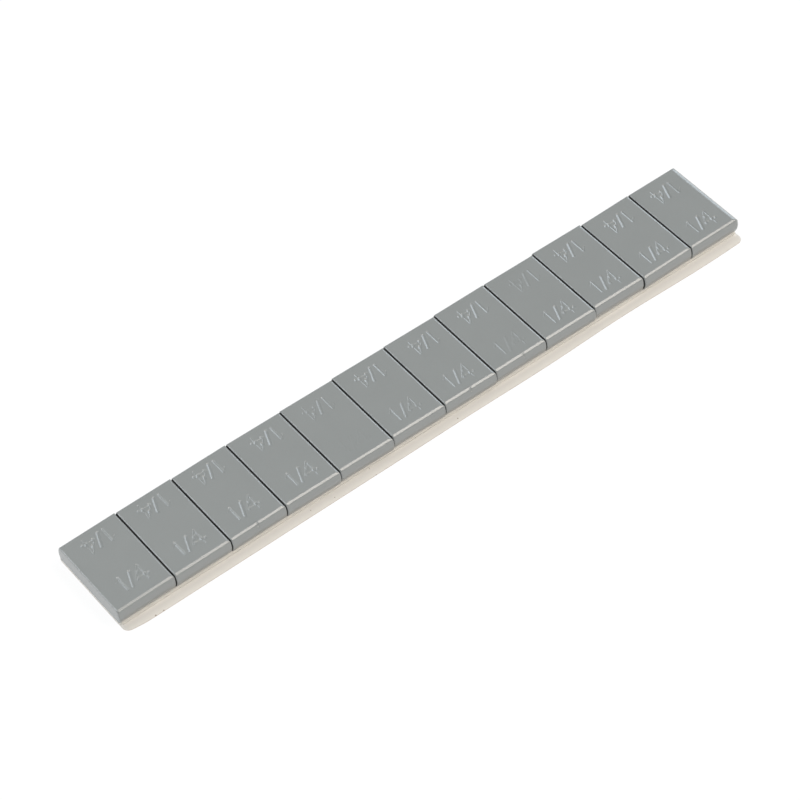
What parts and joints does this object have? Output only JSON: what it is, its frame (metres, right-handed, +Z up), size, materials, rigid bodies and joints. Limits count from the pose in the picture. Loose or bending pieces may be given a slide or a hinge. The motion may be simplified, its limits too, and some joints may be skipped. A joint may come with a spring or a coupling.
{
  "type": "wheel balance weight",
  "caption": "Stick-on wheel balance weight: a flat strip of rounded grey-coated steel blocks, side by side on a white foam adhesive tape with a cream paper release liner.",
  "frame": {"origin": "under the middle of the whole strip, on the surface that the liner lies on", "axes": "+X along the strip towards its rounded end, +Y across the strip, +Z up from the tape to the weights' top faces"},
  "size_m": [0.1526, 0.024, 0.0049],
  "materials": {
    "coated_steel": "satin grey coating",
    "foam": "matte white foam",
    "liner_paper": "matte cream coated paper"
  },
  "bodies": {
    "root": {"weight_01": "coated_steel", "weight_02": "coated_steel", "weight_03": "coated_steel", "weight_04": "coated_steel", "weight_05": "coated_steel", "weight_06": "coated_steel", "weight_07": "coated_steel", "weight_08": "coated_steel", "weight_09": "coated_steel", "weight_10": "coated_steel", "weight_11": "coated_steel", "weight_12": "coated_steel", "foam_tape": "foam", "release_liner": "liner_paper"}
  },
  "joints": []
}
